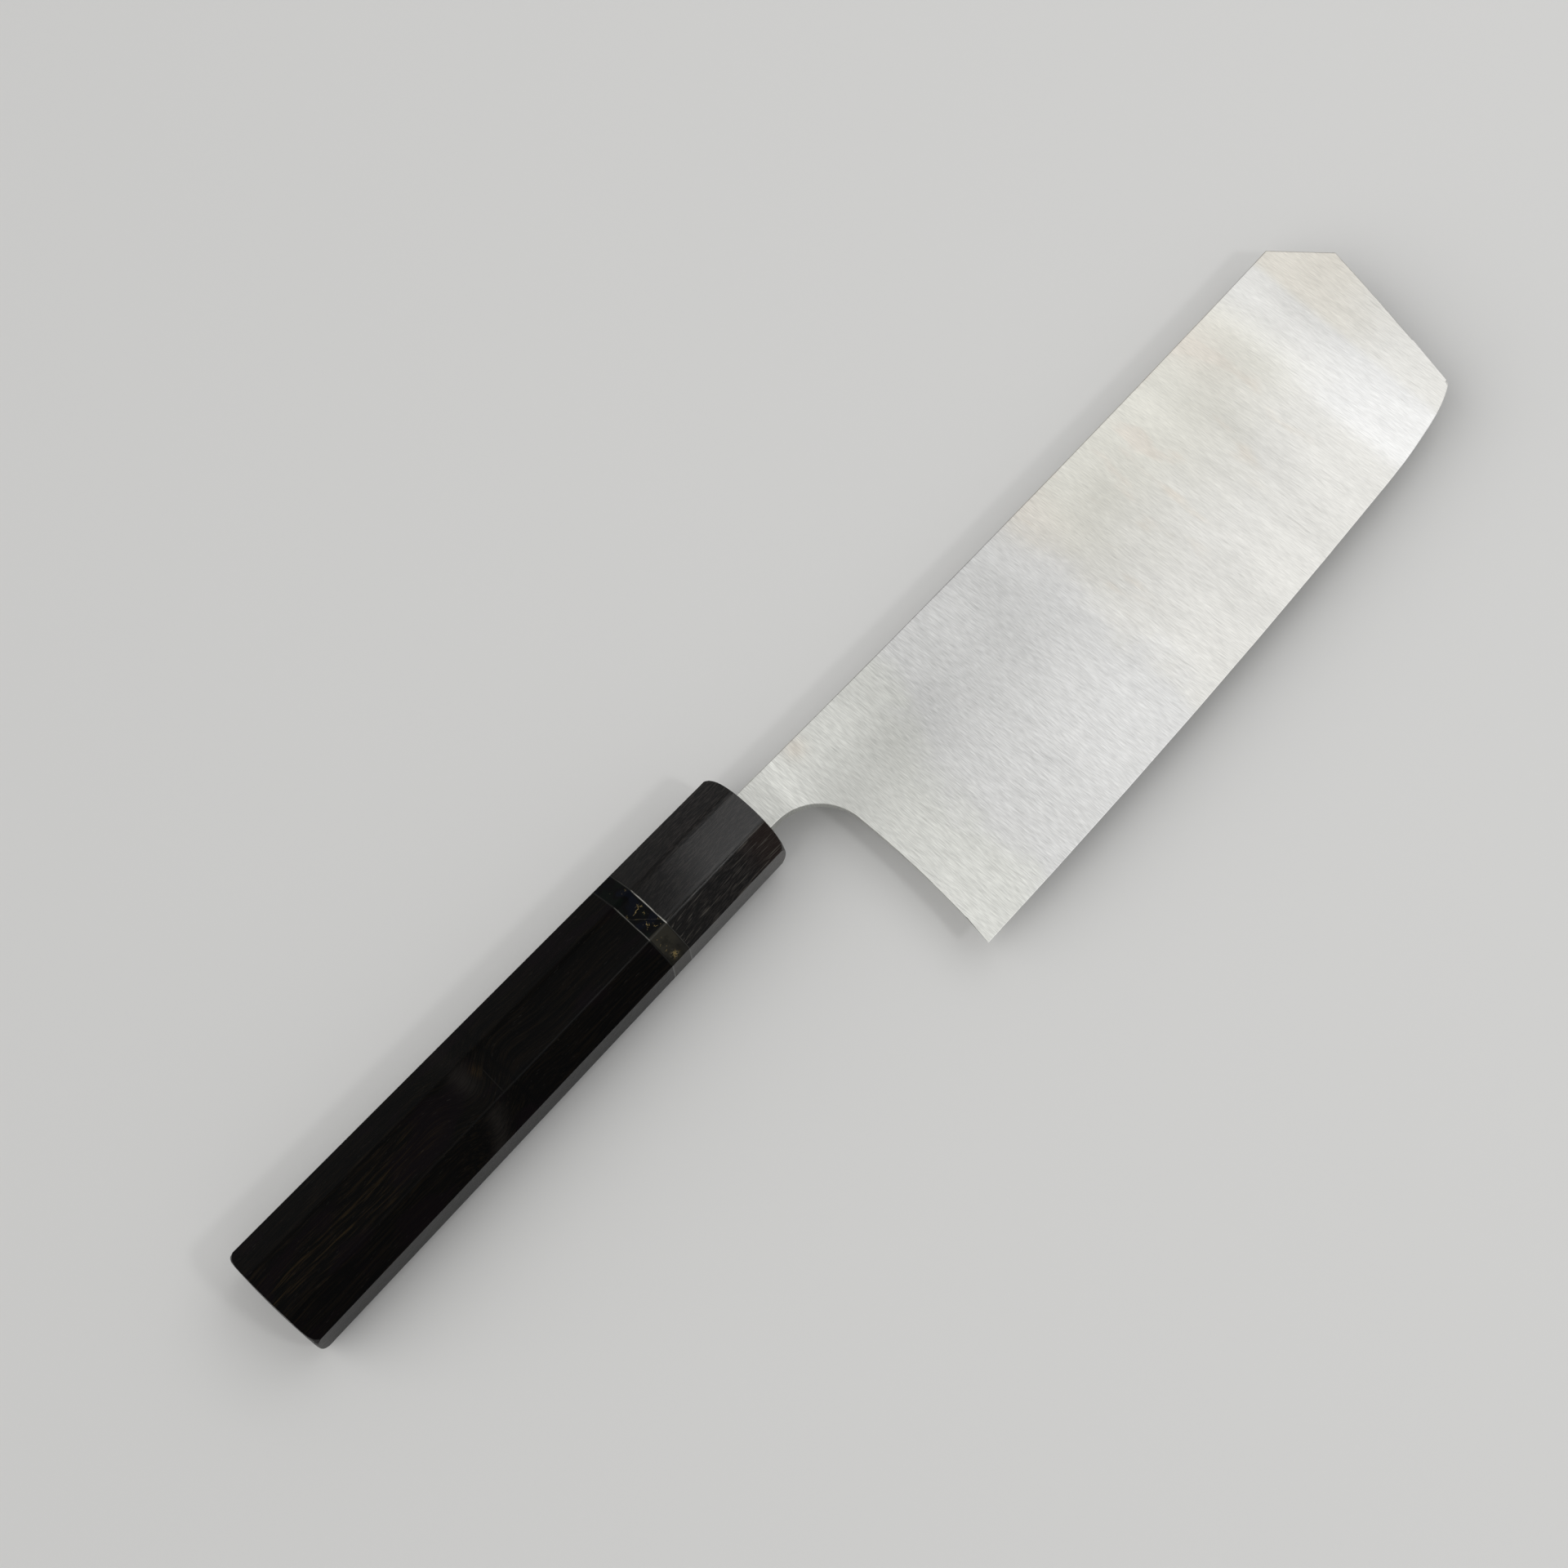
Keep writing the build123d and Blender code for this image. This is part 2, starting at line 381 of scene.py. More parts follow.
# Faint heat and polish tints of the steel, by place as above
tints = {
    "neutral": (1.0, 1.0, 0.985),
    "green": (0.994, 1.0, 0.947),
    "greenEnd": (35, 46),
    "greenSlant": 0.35,
    "greenDeepest": 28,
    "straw": (1.0, 0.99, 0.945),
    "strawStart": (76, 88),
    "strawEnd": (146, 152),
    "golden": (1.0, 0.988, 0.905),
    "goldenStart": (80, 94),
    "goldenEnd": (146, 158),
    "upperBelow": (4, 32),       # the golden tint keeps to the upper half
    "lastStart": (163.0, 166.0),
    "drift": 30,                 # how far the borders of the tints waver
    "driftsPerMm": (0.06, 0.045, 0.04),
    "warm": (1.0, 0.95, 0.86),
    "streaksPerMm": (0.16, 0.05),
    "streakSlant": 0.07,
    "spotsStart": (80, 92),
    "spotsEnd": (140, 150),
    "spotsBelow": (18, 36),
    "spineSpots": ((88, 6), (141, 6)),
    "spineSpotBelow": (-3, 11),
    "neckSpot": (16.2, 2.4),
    "neckSpotBelow": (-2.8, 2.4),
    "warmShare": 0.7,            # at the spine and the last part
}


def tintSteel(shader, ahead, depth):
    drift = (shader.cloud(tints["driftsPerMm"], 3.0, 0.6) - 0.5) * tints["drift"]
    place = ahead + drift
    upper = 1 - (depth + drift * 0.7).rise(*tints["upperBelow"])
    lastPart = ahead.rise(*tints["lastStart"])
    slanted = place + depth.lesser(tints["greenDeepest"]) * tints["greenSlant"]
    colour = shader.mix(1 - slanted.rise(*tints["greenEnd"]), tints["neutral"], tints["green"])
    paler = ahead.rise(*tints["strawEnd"]) * (1 - upper * 0.6)
    front = place.rise(*tints["strawStart"]) * (1 - paler).greater(lastPart)
    colour = shader.mix(front, colour, tints["straw"])
    beforeEnd = (1 - ahead.rise(*tints["goldenEnd"])).greater(lastPart)
    gilt = upper * place.rise(*tints["goldenStart"]) * beforeEnd
    colour = shader.mix(gilt, colour, tints["golden"])

    # Warm spots along the front half, at the spine, the last part and the neck
    streakAlong, streakAcross = tints["streaksPerMm"]
    slanted = (ahead - depth * tints["streakSlant"]) * streakAlong
    streaks = shader.noise(shader.point(slanted, depth * streakAcross, 0.0), 2.0, 0.5)
    spots = streaks.rise(0.54, 0.66) * ahead.rise(*tints["spotsStart"])
    spots = spots * (1 - ahead.rise(*tints["spotsEnd"])) * (1 - depth.rise(*tints["spotsBelow"]))
    rear, front = [ahead.near(*spot) for spot in tints["spineSpots"]]
    atSpine = depth.near(*tints["spineSpotBelow"]) * (rear + front)
    atNeck = ahead.near(*tints["neckSpot"]) * depth.near(*tints["neckSpotBelow"])
    warmth = spots + atSpine * tints["warmShare"] + lastPart * upper * tints["warmShare"] + atNeck
    return shader.mix(warmth.lesser(1.0), colour, tints["warm"])


# Painted highlights and shade by place on the blade, standing in for the light its satin faces
# reflect, before the lines that cross it
def shadeSteel(shader, ahead, height, depth):
    sway = shader.cloud((0.02, 0.045, 0.02), 2.0, 0.5) - 0.5
    along = ahead + sway * steel["sway"]
    glow = along.near(*steel["endBand"]) * depth.rise(*steel["endBelow"])
    widening = (ahead - height * steel["neckSlant"]).near(*steel["neckBand"])
    fading, gone = [along.rise(*place) * 0.5 for place in steel["rearEnds"]]
    rear = ahead.rise(*steel["rearStart"]) * (1 - fading - gone)
    middle = depth.near(*steel["middleBandBelow"]) * (1 - ahead.rise(*steel["middleEnd"]))
    heel = (1 - ahead.rise(*steel["heelEnd"])) * depth.rise(*steel["heelBelow"])
    spine = (1 - depth.rise(*steel["spineBelow"])) * ahead.rise(*steel["spineStart"])
    return (
        steel["tone"]
        + depth.rise(*steel["edgeBelow"]) * steel["edgeLight"]
        - middle * steel["middleShade"]
        - heel * steel["heelShade"]
        + glow * steel["endGlow"]
        + spine * steel["spineGlow"]
        + widening * steel["neckGlow"]
        - rear * steel["rearShade"]
        + along.rise(*steel["endStart"]) * steel["endLight"]
        + (1 - ahead.rise(*steel["neckEnd"])) * steel["neckLight"]
        - ahead.rise(*steel["lastStart"]) * steel["lastShade"]
    )


def makeSteel():
    shader = Shader("satinSteel")
    ahead, height, side = shader.axes(shader.millimetres())
    depth = height * -1
    tone = shadeSteel(shader, ahead, height, depth)

    # Smears, partly painted reflection, and hairlines run across the blade and lean a little more
    # towards its end
    atHeel, more = steel["lean"]
    leaned = ahead - depth * (ahead.rise(*steel["leanGrows"]) * more + atHeel)
    along, across, through = steel["smearsAndReflectionsPerMm"]
    smears = shader.noise(shader.point(leaned * along, depth * across, side * through), 3.0, 0.6)
    # Painted reflection: the smears and the clouds are partly grinding haze and partly soft reflected
    # light painted into the colour
    clouds = shader.cloud(steel["cloudsPerMm"], 3.0, 0.55, 0.4)
    busy = ahead.rise(*steel["smearsAndReflectionsStart"]) * 0.65 + 0.35
    tone = tone + (smears - 0.5) * busy * steel["smears"] + (clouds - 0.5) * steel["clouds"]
    along, across = steel["hairsPerMm"]
    hair = shader.noise(shader.point(leaned * along, depth * across, side), 1.5, 0.6)
    along, across = steel["scratchesPerMm"]
    deep = shader.noise(shader.point(leaned * along, depth * across, side), 1.0)
    scored = deep.rise(0.66, 0.76)
    finer = 1.2 - ahead.rise(*steel["hairFade"]) * 0.4
    tone = tone * (1 + (hair - 0.5) * 2 * finer * steel["hairlines"] - scored * steel["scratches"])

    tinted = tintSteel(shader, ahead, depth)
    colour = shader.mix(1.0, tinted, shader.point(tone, tone, tone), "MULTIPLY")
    roughness = steel["roughness"] + (clouds - 0.5) * 0.06 + (hair - 0.5) * 0.10
    normal = shader.bump(hair - scored * 0.4, steel["relief"], 0.35)
    return shader.finish(baseColor=colour, metallic=1.0, roughness=roughness, normal=normal)


# Blade: the CAD blade with its crisp corners eased
blade = {
    "easing": 0.18,
    "easingSteps": 3,
    "neckEnd": -19.35,       # nose of the ferrule, along X
    "heelLine": -3.9,        # choil and heel lie behind this
    "underside": 15.95,      # and below this, along Y
    "endLine": 148.0,        # end of the blade lies ahead of this
    "endTop": 14.2,          # and below this
    "thinnest": 0.25,        # half thickness under which the corner stays as it is
    "cornerAngle": 50,       # degrees from face to wall
    "faceTilt": 0.9,         # a face's normal rises more than this, a wall's less than the next
    "wallTilt": 0.3,
    "merging": 0.002,
    "flatAngle": 0.05,
}


def isBladeCorner(edge):
    middle = (edge.verts[0].co + edge.verts[1].co) / 2 / mm
    tilts = [abs(face.normal.z) for face in edge.link_faces]
    sharp = edge.calc_face_angle(0) > math.radians(blade["cornerAngle"])
    corner = sharp and max(tilts) > blade["faceTilt"] and min(tilts) < blade["wallTilt"]
    choil = blade["neckEnd"] < middle.x < blade["heelLine"] and middle.y < blade["underside"]
    end = middle.x > blade["endLine"] and middle.y < blade["endTop"]
    thick = min(abs(vert.co.z / mm - nose[2]) for vert in edge.verts) > blade["thinnest"]
    return corner and thick and (choil or end)


def makeBlade(material):
    bm = bmesh.new()
    bm.from_mesh(nodes["blade"].data)
    bmesh.ops.remove_doubles(bm, verts=bm.verts, dist=blade["merging"] * mm)
    flat = math.radians(blade["flatAngle"])
    bmesh.ops.dissolve_limit(bm, angle_limit=flat, verts=bm.verts, edges=bm.edges)
    bmesh.ops.bevel(
        bm, geom=[edge for edge in bm.edges if isBladeCorner(edge)],
        offset=blade["easing"] * mm, offset_type="OFFSET", segments=blade["easingSteps"],
        profile=0.5, affect="EDGES", clamp_overlap=False, material=-1,
    )
    addPiece(bm, "blade_eased", "blade", material)


# Handle: eight tapering sides and domed ends, made in one length and parted as the real blank is.
# Lengths are in millimetres from the apex of the domed nose, on the handle's axis.
handle = {
    "length": 139.5,
    "noseSize": (21.9, 18.4, 6.3),       # height, thickness and corner cut along the height
    "buttSize": (25.2, 21.1, 7.1),
    "slopeShare": 0.7,                   # the same cut along the thickness, as a share
    "settlings": 3,                      # rounds that bring a line's end onto a dome
    "cornerEasing": 0.24,
    "cornerSteps": 3,
    "endEasing": 0.16,
    "endSteps": 2,
    "strips": 10,                        # to each side, so that the domed ends curve
    "noseDome": (58.0, 3.0, 12.345),     # dome radius, shoulder radius, reach of the shoulder
    "buttDome": (150.0, 2.2, 13.85),
    "noseRings": (0.07, 0.25, 0.5, 0.75, 1.0),    # shares of the way from the rim to the slot
    "buttRings": (0.94, 0.75, 0.5, 0.25),         # sizes beside the rim
    "boreRadius": 6.55,
    "slotHalf": (5.25, 1.75),
    "slotMiddle": -0.2,
    "slotDepth": 8.0,
    "gripBoreEnd": 109.0,
}
partings = {
    "ferrule": (0.0, 30.0),
    "front_liner": (30.0, 30.4),
    "spacer": (30.4, 35.0),
    "rear_liner": (35.0, 35.4),
    "grip": (35.4, 139.5),
}


def sectionCorners(behind):
    share = behind / handle["length"]
    sizes = zip(handle["noseSize"], handle["buttSize"])
    height, thickness, cut = [first + (last - first) * share for first, last in sizes]
    flatY = height / 2 - cut
    flatZ = thickness / 2 - cut * handle["slopeShare"]
    quarter = [(height / 2, flatZ), (flatY, thickness / 2)]
    upper = quarter + [(-y, z) for y, z in reversed(quarter)]
    return upper + [(-y, -z) for y, z in upper]


# How far behind its apex a domed end lies, at that distance from the axis
def setback(dome, reach):
    domeRadius, shoulder, widest = dome
    lean = math.asin((widest - shoulder) / (domeRadius - shoulder))
    if reach < domeRadius * math.sin(lean):
        return domeRadius - math.sqrt(domeRadius ** 2 - reach ** 2)
    centre = domeRadius - (domeRadius - shoulder) * math.cos(lean)
    over = min(reach - (widest - shoulder), shoulder)
    return centre - math.sqrt(shoulder ** 2 - over ** 2)


def grow(bm, ring):
    grown = bmesh.ops.extrude_edge_only(bm, edges=ring)["geom"]
    verts = [item for item in grown if isinstance(item, bmesh.types.BMVert)]
    edges = [item for item in grown if isinstance(item, bmesh.types.BMEdge) and item.is_boundary]
    return verts, edges


def openRing(bm, front):
    middle = -sum(vert.co.x for vert in bm.verts) / len(bm.verts)
    ends = [edge for edge in bm.edges if edge.is_boundary]
    return [edge for edge in ends if (-edge.verts[0].co.x < middle) == front]


# The long corners between the sides, and the whole degrees that each turns
def longCorners(bm):
    long = [edge for edge in bm.edges if edge.calc_length() > handle["length"] * 0.9]
    return [(edge, round(math.degrees(edge.calc_face_angle(0)))) for edge in long]


def easeCorners(bm):
    for angle in sorted({turned for edge, turned in longCorners(bm)}):
        same = [edge for edge, turned in longCorners(bm) if turned == angle]
        if same:
            bmesh.ops.bevel(
                bm, geom=same, offset=handle["cornerEasing"] * math.tan(math.radians(angle / 2)),
                offset_type="OFFSET", segments=handle["cornerSteps"], profile=0.5,
                affect="EDGES", material=-1,
            )


def makeBlank():
    bm = bmesh.new()
    length = handle["length"]
    frontCorners = sectionCorners(0)
    buttCorners = sectionCorners(length)
    ring = bmesh.ops.create_circle(bm, segments=len(frontCorners), radius=1)["verts"]
    for vert, (y, z) in zip(ring, frontCorners):
        vert.co = (0, y, z)
    for vert in grow(bm, bm.edges[:])[0]:
        pairs = zip(frontCorners, buttCorners)
        nearest = min(pairs, key=lambda pair: math.dist(pair[0], vert.co[1:]))
        vert.co = (-length, *nearest[1])
    easeCorners(bm)
    wide = [edge for edge in bm.edges if edge.is_boundary and edge.calc_length() > 1]
    bmesh.ops.subdivide_edges(bm, edges=wide, cuts=handle["strips"] - 1, use_grid_fill=True)
    for front, dome in ((True, handle["noseDome"]), (False, handle["buttDome"])):
        for vert in dict.fromkeys(vert for edge in openRing(bm, front) for vert in edge.verts):
            lengthwise = [edge for edge in vert.link_edges if not edge.is_boundary][0]
            slope = lengthwise.other_vert(vert).co - vert.co
            slope = slope / abs(slope.x)
            start = vert.co.copy()
            for settling in range(handle["settlings"]):
                vert.co = start + slope * setback(dome, math.hypot(*vert.co[1:]))
    return bm


def partOff(name):
    front, back = partings[name]
    bm = makeBlank()
    for place, facing in ((front, 1), (back, -1)):
        if 0 < place < handle["length"]:
            geometry = bm.verts[:] + bm.edges[:] + bm.faces[:]
            bmesh.ops.bisect_plane(
                bm, geom=geometry, plane_co=(-place, 0, 0), plane_no=(facing, 0, 0),
                clear_outer=True,
            )
    return bm


def toBore(bm, ring):
    verts, edges = grow(bm, ring)
    for vert in verts:
        share = handle["boreRadius"] / math.hypot(*vert.co[1:])
        vert.co.y *= share
        vert.co.z *= share
    return edges


def easeEnd(bm, ring):
    bmesh.ops.bevel(
        bm, geom=ring, offset=handle["endEasing"], offset_type="OFFSET",
        segments=handle["endSteps"], profile=0.5, affect="EDGES", clamp_overlap=False, material=-1,
    )


def setInPlace(bm):
    bmesh.ops.scale(bm, vec=(mm, mm, mm), verts=bm.verts)
    bmesh.ops.translate(bm, vec=Vector(nose) * mm, verts=bm.verts)


# Where a point of the rim lands on the domed nose, that share of the way to the slot's mouth
def towardsSlot(start, share):
    halfY, halfZ = handle["slotHalf"]
    middle = handle["slotMiddle"]
    away = Vector((start.y - middle, start.z))
    reach = min(halfY / max(abs(away.x), 1e-6), halfZ / max(abs(away.y), 1e-6))
    target = away * reach
    y = start.y + (middle + target.x - start.y) * share
    z = start.z + (target.y - start.z) * share
    return (-setback(handle["noseDome"], math.hypot(y, z)), y, z)


# Rings close in over the domed nose to the slot's mouth, whose corners are square
def closeNose(bm, ring):
    starts = []              # where each point of the last ring lies, and where its line began
    for share in handle["noseRings"]:
        verts, ring = grow(bm, ring)
        begun = []
        for vert in verts:
            start = vert.co.copy()
            if starts:
                start = min(starts, key=lambda pair: (pair[0] - vert.co).length)[1]
            begun.append(start)
        for vert, start in zip(verts, begun):
            vert.co = towardsSlot(start, share)
        starts = [(vert.co.copy(), start) for vert, start in zip(verts, begun)]
    halfY, halfZ = handle["slotHalf"]
    middle = handle["slotMiddle"]
    for y in (middle - halfY, middle + halfY):
        for z in (-halfZ, halfZ):
            nearest = min(verts, key=lambda vert: math.dist(vert.co[1:], (y, z)))
            nearest.co = (-setback(handle["noseDome"], math.hypot(y, z)), y, z)
    return ring


def makeFerrule(material):
    bm = partOff("ferrule")
    rim = openRing(bm, True)
    back = openRing(bm, False)
    mouth = closeNose(bm, rim)

    # The slot's wall, the bore, and the flat back between bore and outside
    wallVerts, wall = grow(bm, mouth)
    deepVerts, deep = grow(bm, toBore(bm, back))
    for vert in wallVerts + deepVerts:
        vert.co.x = -handle["slotDepth"]
    bmesh.ops.bridge_loops(bm, edges=wall + deep)
    easeEnd(bm, rim)
    setInPlace(bm)
    addPiece(bm, "ferrule_eased", "ferrule", material)


def makeBand(name, material):
    bm = partOff(name)
    front = toBore(bm, openRing(bm, True))
    backRing = [edge for edge in bm.edges if edge.is_boundary and edge not in front]
    back = toBore(bm, backRing)
    bmesh.ops.bridge_loops(bm, edges=front + back)
    setInPlace(bm)
    addPiece(bm, name + "_ring", name, material)


def makeGrip(material):
    bm = partOff("grip")
    butt = openRing(bm, False)
    endVerts = grow(bm, toBore(bm, openRing(bm, True)))[0]
    for vert in endVerts:
        vert.co.x = -handle["gripBoreEnd"]
    bmesh.ops.pointmerge(bm, verts=endVerts, merge_co=(-handle["gripBoreEnd"], 0, 0))

    # Rings close in over the domed butt to its middle
    ring = butt
    share = 1.0
    for nextShare in handle["buttRings"]:
        verts, ring = grow(bm, ring)
        for vert in verts:
            vert.co.y *= nextShare / share
            vert.co.z *= nextShare / share
            vert.co.x = -handle["length"] + setback(handle["buttDome"], math.hypot(*vert.co[1:]))
        share = nextShare
    verts, ring = grow(bm, ring)
    bmesh.ops.pointmerge(bm, verts=verts, merge_co=(-handle["length"], 0, 0))
    easeEnd(bm, butt)
    setInPlace(bm)
    addPiece(bm, "grip_eased", "grip", material)


# Ebony, nearly black, with brown and golden streaks along the grain
ebony = {
    "black": (0.0007, 0.0007, 0.0007),
    "brown": (0.0034, 0.0025, 0.0017),
    "plum": (0.0026, 0.0014, 0.0021),
    "red": (0.0130, 0.0062, 0.0040),     # low on the ferrule, near its nose
    "gold": (0.0190, 0.0120, 0.0046),
    "ash": (0.013, 0.0115, 0.0100),      # pale fibre round the knot
    # Pale fibre, with painted sheen: it grows toward the ferrule's nose to stand in for the lighter
    # sheen there
    "silver": (0.0198, 0.0168, 0.0152),  # pale fibre on the ferrule
    "pore": (0.060, 0.054, 0.046),       # polish dust caught in the pores
    "streaksPerMm": (0.035, 1.7),        # along the grain and across it
    "fibresPerMm": 4.2,
    "poresPerMm": (0.55, 8.5),
    "gripFibre": 5.0,                    # length of the fibres' figure, mm
    "ferruleFibre": 2.2,
    "gripCrown": (-60.0, 6000.0, 260.0),     # middle, radius along, radius across, mm
    "ferruleCrown": (-12.0, 320.0, 230.0),
    "gripShine": 0.05,
    "gripRoughness": 0.28,
    "gripRelief": 0.0032,                # mm
    "ferruleShine": 0.20,
    "ferruleRoughness": 0.16,
    "ferruleRelief": 0.0050,
    "ferruleWax": 0.62,                  # wax polish on the ferrule's wide facets
    "waxEnd": (12, 27),                  # where it thins out, behind the nose
    "waxRoughness": 0.16,
    "wideFacet": (4.3, 4.9),             # its border, from the axis, mm
    "lowFacet": (4.5, 5.0),
    "arch": (8, 0.003),                  # of the ferrule's grain: place behind the nose, bend
    "reddening": (-12, -3),
    "paintedNoseSheen": (-40, -8),
    "porePatch": ((-8.2, 0.5), (3.2, 0.9)),    # small dark mark: middle and half width each way
}

# The knot in the grip. Places are in mm ahead of it, or above the handle's axis where the name
# says so. A pair is where a change begins and ends, and in a band its middle and half width.
knot = {
    "place": -78.5,              # along the handle, from the nose
    "lowCorner": 5,              # corner to the lower facet, below the axis
    "curl": (3, 2.3),            # pale curl of fibre, behind the knot
    "curlBow": 1.4,
    "curlAbove": ((-3.5, 1.5), (4.6, 5.6)),
    "bends": (4, 2),             # how far the fibres swerve behind and ahead of it
    "buttStart": (-16, -6),      # golden streaks begin behind this
    "heartAbove": (-1, 4.6),
    "speck": (0.0, 1.0),         # golden
    "speckAbove": (1.9, 1.4),
    "darkBand": (4.2, 0.7),
    "check": 1.2,                # fine line across the wide facet
    "checkSlant": 0.054,
    "checkWidth": 0.07,
    "checkAbove": ((-5.4, -4.8), (0.6, 1.2)),
}


# Hand sanding leaves each side a little crowned: its height in mm, for those crown radii
def crown(x, y, middle, radiusAlong, radiusAcross):
    along = (x - middle) * (x - middle) / (-2 * radiusAlong)
    across = y * y / (-2 * radiusAcross)
    return along + across


# The grain's own coordinates and its coarse and fine figure
def layGrain(shader, x, y, z, fibreLength):
    sway = shader.cloud((0.025, 0.09, 0.09), 2.0) - 0.5
    swayed = y + sway * 5
    along, across = ebony["streaksPerMm"]
    broad = shader.point(x * along, swayed * across, (z + sway * 4) * across)
    streaks = shader.noise(broad, 4.0, 0.6)
    across = ebony["fibresPerMm"]
    fibres = shader.noise(shader.point(x / fibreLength, swayed * across, z * across), 3.0, 0.65)
    along, across = ebony["poresPerMm"]
    pores = shader.noise(shader.point(x * along, y * across, z * across), 1.0)
    return streaks, fibres, pores


def makeGripEbony():
    shader = Shader("gripEbony")
    x, y, z = shader.axes(shader.millimetres())
    fromKnot = x - knot["place"]

    # The fibres bend round the knot, and a pale curl of them runs over both near facets
    low = (y * -1 - knot["lowCorner"]).greater(0) / 4
    curlBehind, curlWidth = knot["curl"]
    curl = fromKnot + curlBehind + low * low * knot["curlBow"]
    behind, before = knot["bends"]
    bent = y + curl.near(0, 7) * behind - fromKnot.near(6, 8) * before
    streaks, fibres, pores = layGrain(shader, x, bent, z, ebony["gripFibre"])
    towardsButt = 1 - fromKnot.rise(*knot["buttStart"])
    heart = y.near(*knot["heartAbove"])
    patches = shader.cloud((0.06, 0.16, 0.16), 2.0)
    figure = streaks * 0.6 + fibres * 0.4
    colour = shader.mix(figure.rise(0.42, 0.64), ebony["black"], ebony["brown"])
    colour = shader.mix(patches.rise(0.50, 0.62) * 0.8, colour, ebony["plum"])
    gilded = figure.rise(0.50, 0.66) * (towardsButt * heart * 0.85 + 0.12)
    colour = shader.mix(gilded * (1 - patches.rise(0.52, 0.64) * 0.6), colour, ebony["gold"])
    begins, fades = knot["curlAbove"]
    shown = (y.rise(*begins) + low.rise(0.1, 0.4)).lesser(1.0) * (1 - y.rise(*fades) * 0.7)
    nearSide = 1 - z.near(-12, 8)
    pale = curl.near(0, curlWidth) * (fibres.rise(0.3, 0.6) * 0.6 + 0.4) * nearSide * shown
    colour = shader.mix(pale * 0.8, colour, ebony["ash"])
    speck = fromKnot.near(*knot["speck"]) * y.near(*knot["speckAbove"])
    colour = shader.mix((speck * fibres.rise(0.35, 0.6)).lesser(1.0), colour, ebony["gold"])
    dark = fromKnot.near(*knot["darkBand"]) * streaks.rise(0.3, 0.5) * 0.8
    colour = shader.mix(dark, colour, ebony["black"])
    colour = shader.mix(pores.rise(0.70, 0.80) * 0.30, colour, ebony["pore"])

    # A fine check runs from the knot down to the corner
    begins, fades = knot["checkAbove"]
    check = (fromKnot - knot["check"] - y * knot["checkSlant"]).near(0, knot["checkWidth"])
    check = check * y.rise(*begins) * (1 - y.rise(*fades))
    colour = shader.mix(check * z.rise(-1, 1) * 0.8, colour, ebony["ash"])

    roughness = ebony["gripRoughness"] + (fibres - 0.5) * 0.22
    relief = (fibres - pores.rise(0.66, 0.8) * 0.8) * ebony["gripRelief"]
    normal = shader.bump(relief + crown(x, y, *ebony["gripCrown"]), 1.0)
    return shader.finish(
        baseColor=colour, roughness=roughness, specularIORLevel=ebony["gripShine"],
        normal=normal,
    )


def makeFerruleEbony():
    shader = Shader("ferruleEbony")
    x, y, z = shader.axes(shader.millimetres())
    archPlace, bend = ebony["arch"]
    arched = y + (x + archPlace) * (x + archPlace) * bend
    streaks, fibres, pores = layGrain(shader, x, arched, z + 20, ebony["ferruleFibre"])
    figure = streaks * 0.5 + fibres * 0.5
    colour = shader.mix(figure.rise(0.40, 0.64), ebony["black"], ebony["brown"])
    # Painted sheen: the pale fibres brighten toward the nose, for the light that the nose catches
    silveryFibreAndSheen = fibres.rise(0.47, 0.60) * x.rise(*ebony["paintedNoseSheen"])
    colour = shader.mix(silveryFibreAndSheen, colour, ebony["silver"])
    reddish = x.rise(*ebony["reddening"]) * (y * -1).rise(4.4, 5.4)
    colour = shader.mix(reddish * 0.7, colour, ebony["red"])

    # Bright dashes lie in the pores of the lower facet, fewer elsewhere
    lowFacet = (y * -1).rise(*ebony["lowFacet"])
    long = shader.noise(shader.point(x * 0.12, arched * 4.0, z * 4.0), 1.0)
    dashes = long.rise(0.63, 0.70) * (lowFacet * 0.85 + 0.08)
    colour = shader.mix(dashes, colour, ebony["pore"])

    # A small dark pore mark near the nose
    hook = shader.cloud((0.9, 0.9, 0.9), 1.0) - 0.5
    markAlong, markAcross = ebony["porePatch"]
    mark = (x + hook * 3).near(*markAlong) * (y + hook * 3).near(*markAcross)
    mark = (mark * 1.3).lesser(1.0)
    colour = shader.mix(mark, colour, ebony["black"])

    roughness = ebony["ferruleRoughness"] + (fibres - 0.5) * 0.22 + mark * 0.4 + lowFacet * 0.12
    relief = (fibres + pores * 0.6 - mark * 3) * ebony["ferruleRelief"]
    normal = shader.bump(relief + crown(x, y, *ebony["ferruleCrown"]), 1.0)
    thinning = 1 - (x * -1).rise(*ebony["waxEnd"]) * 0.85
    wax = (1 - y.size().rise(*ebony["wideFacet"])) * thinning * ebony["ferruleWax"]
    return shader.finish(
        baseColor=colour, roughness=roughness, specularIORLevel=ebony["ferruleShine"],
        normal=normal, coatWeight=wax, coatRoughness=ebony["waxRoughness"],
    )


# Liners of nickel silver, sanded across with the handle: bright in their middle, with painted shade
# beside it, dimmer on the rear liner and off the wide facets
liner = {
    "colour": (0.36, 0.35, 0.32),
    # Painted shade: the dark colour that the liners take beside their bright middle
    "glueLine": (0.012, 0.012, 0.011),
    "frontMiddle": -30.2,        # along the handle, from the nose, mm
    "rearMiddle": -35.2,
    "bright": 0.11,              # half width of the bright middle
    # Painted shade: the rear liner is kept dimmer than the front one
    "rearShadedShare": 0.28,           # how bright the rear one is beside the front one
    # Painted shade on the slanted facets
    "slantPaintedShade": 0.85,          # darker off the wide facets
    "wideFacet": (4.6, 5.2),     # whose border is here, from the axis, mm
    "roughness": 0.30,
}


